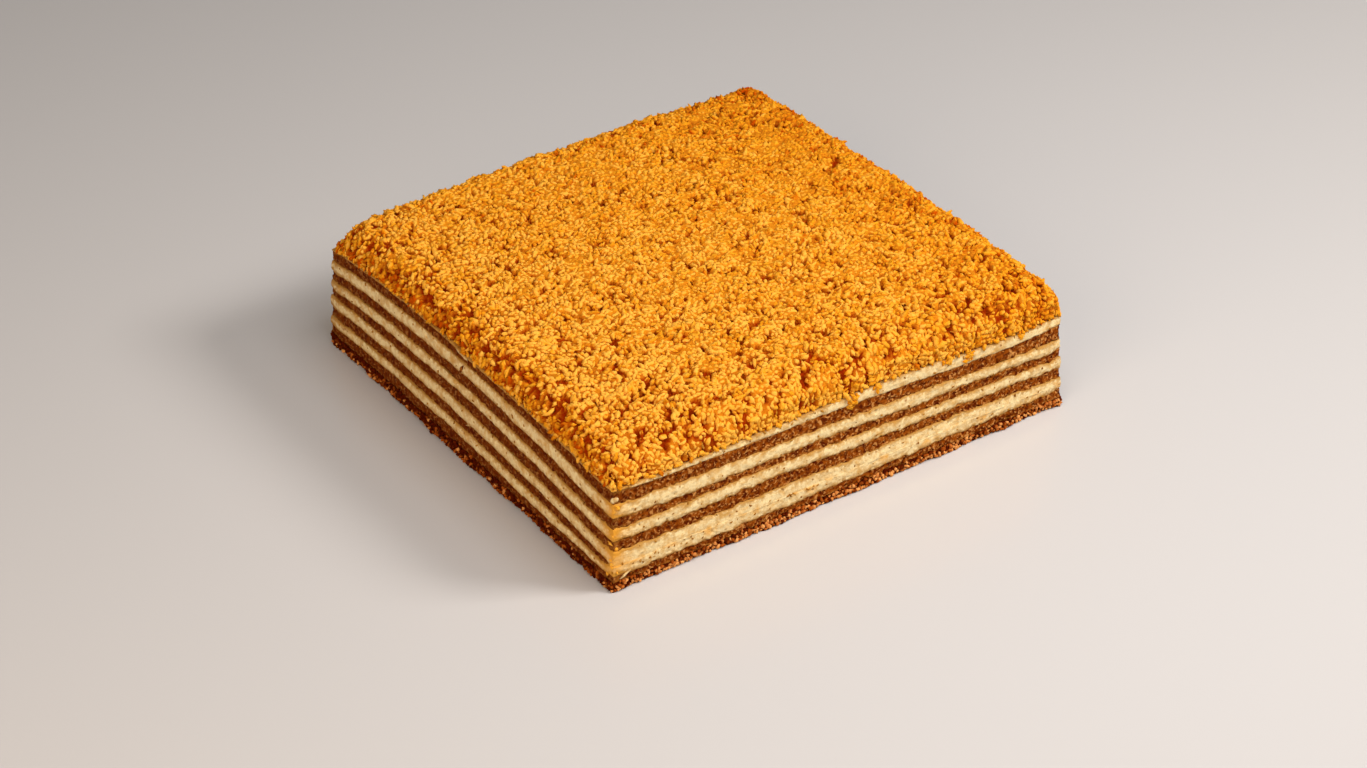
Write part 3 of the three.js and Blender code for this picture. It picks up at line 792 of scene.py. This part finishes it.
spots, normals, sizes, tones = (np.array(part) for part in zip(*(hit for hit in hits if hit[0])))
mesh = joinCrumbs("hangingCrumbs", shapes, spots, normals, sizes, tones, dice)
placePiece("hangingCrumbs", mesh, crumbMaterial, "crumb")

# Bits of cream and sponge that the knife left on the walls, seen from the front or from the -X end
bitForm = {"lengths": (1.0, 1.0), "seed": 23, "edge": 0.6,  # each side is the way in and the way along
           "sides": {"front": ((0, 1, 0), (1, 0, 0)), "end": ((1, 0, 0), (0, -1, 0))}}
caughtBits = [
    {"kind": "cream", "side": "front", "at": (-91.0, -91.0, 33.8), "size": (2.4, 2.0, 1.6), "slope": 15},
    {"kind": "cream", "side": "front", "at": (-87.8, -91.0, 6.0), "size": (6.0, 0.8, 0.8), "slope": 28},
    {"kind": "cream", "side": "front", "at": (93.5, -91.0, 8.6), "size": (3.0, 1.8, 1.6), "slope": 0},
    {"kind": "cream", "side": "end", "at": (-93.0, -4.0, 15.8), "size": (4.4, 0.7, 0.7), "slope": 30},
    {"kind": "cream", "side": "end", "at": (-93.0, 0.5, 41.0), "size": (8.0, 1.6, 1.4), "slope": -4},
    {"kind": "sponge", "side": "end", "at": (-93.0, 0.2, 35.6), "size": (4.0, 1.4, 1.2), "slope": 58},
]
for kind, material in (("cream", creamMaterial), ("sponge", spongeMaterial)):
    bits = [bit for bit in caughtBits if bit["kind"] == kind]
    verts, faces = [], []
    for bit, (shape, shapeFaces) in zip(bits, crumbShapes(len(bits), bitForm["lengths"], bitForm["seed"])):
        heading, across = (Vector(axis) for axis in bitForm["sides"][bit["side"]])
        spot = walls.ray_cast(Vector(bit["at"]) - castFrom * heading, heading)[0]
        tilt = Matrix.Rotation(math.radians(bit["slope"]), 3, across.cross(upright))
        axes = np.array([tilt @ across, tilt @ upright, -heading])
        faces.append(shapeFaces + sum(len(part) for part in verts))
        verts.append(shape * bit["size"] @ axes + np.array(spot))
    mesh = bpy.data.meshes.new(kind + "Bits")
    mesh.from_pydata(np.concatenate(verts) * mm, [], np.concatenate(faces))
    edgeData = mesh.attributes.new("edge", "FLOAT", "POINT").data
    edgeData.foreach_set("value", np.full(len(mesh.vertices), bitForm["edge"]))
    placePiece(kind + "Bits", mesh, material, kind)
print("crumbs ready")

sizes = {"cad": [list(corner) for corner in cadBox], "visual": [list(corner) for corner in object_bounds()]}
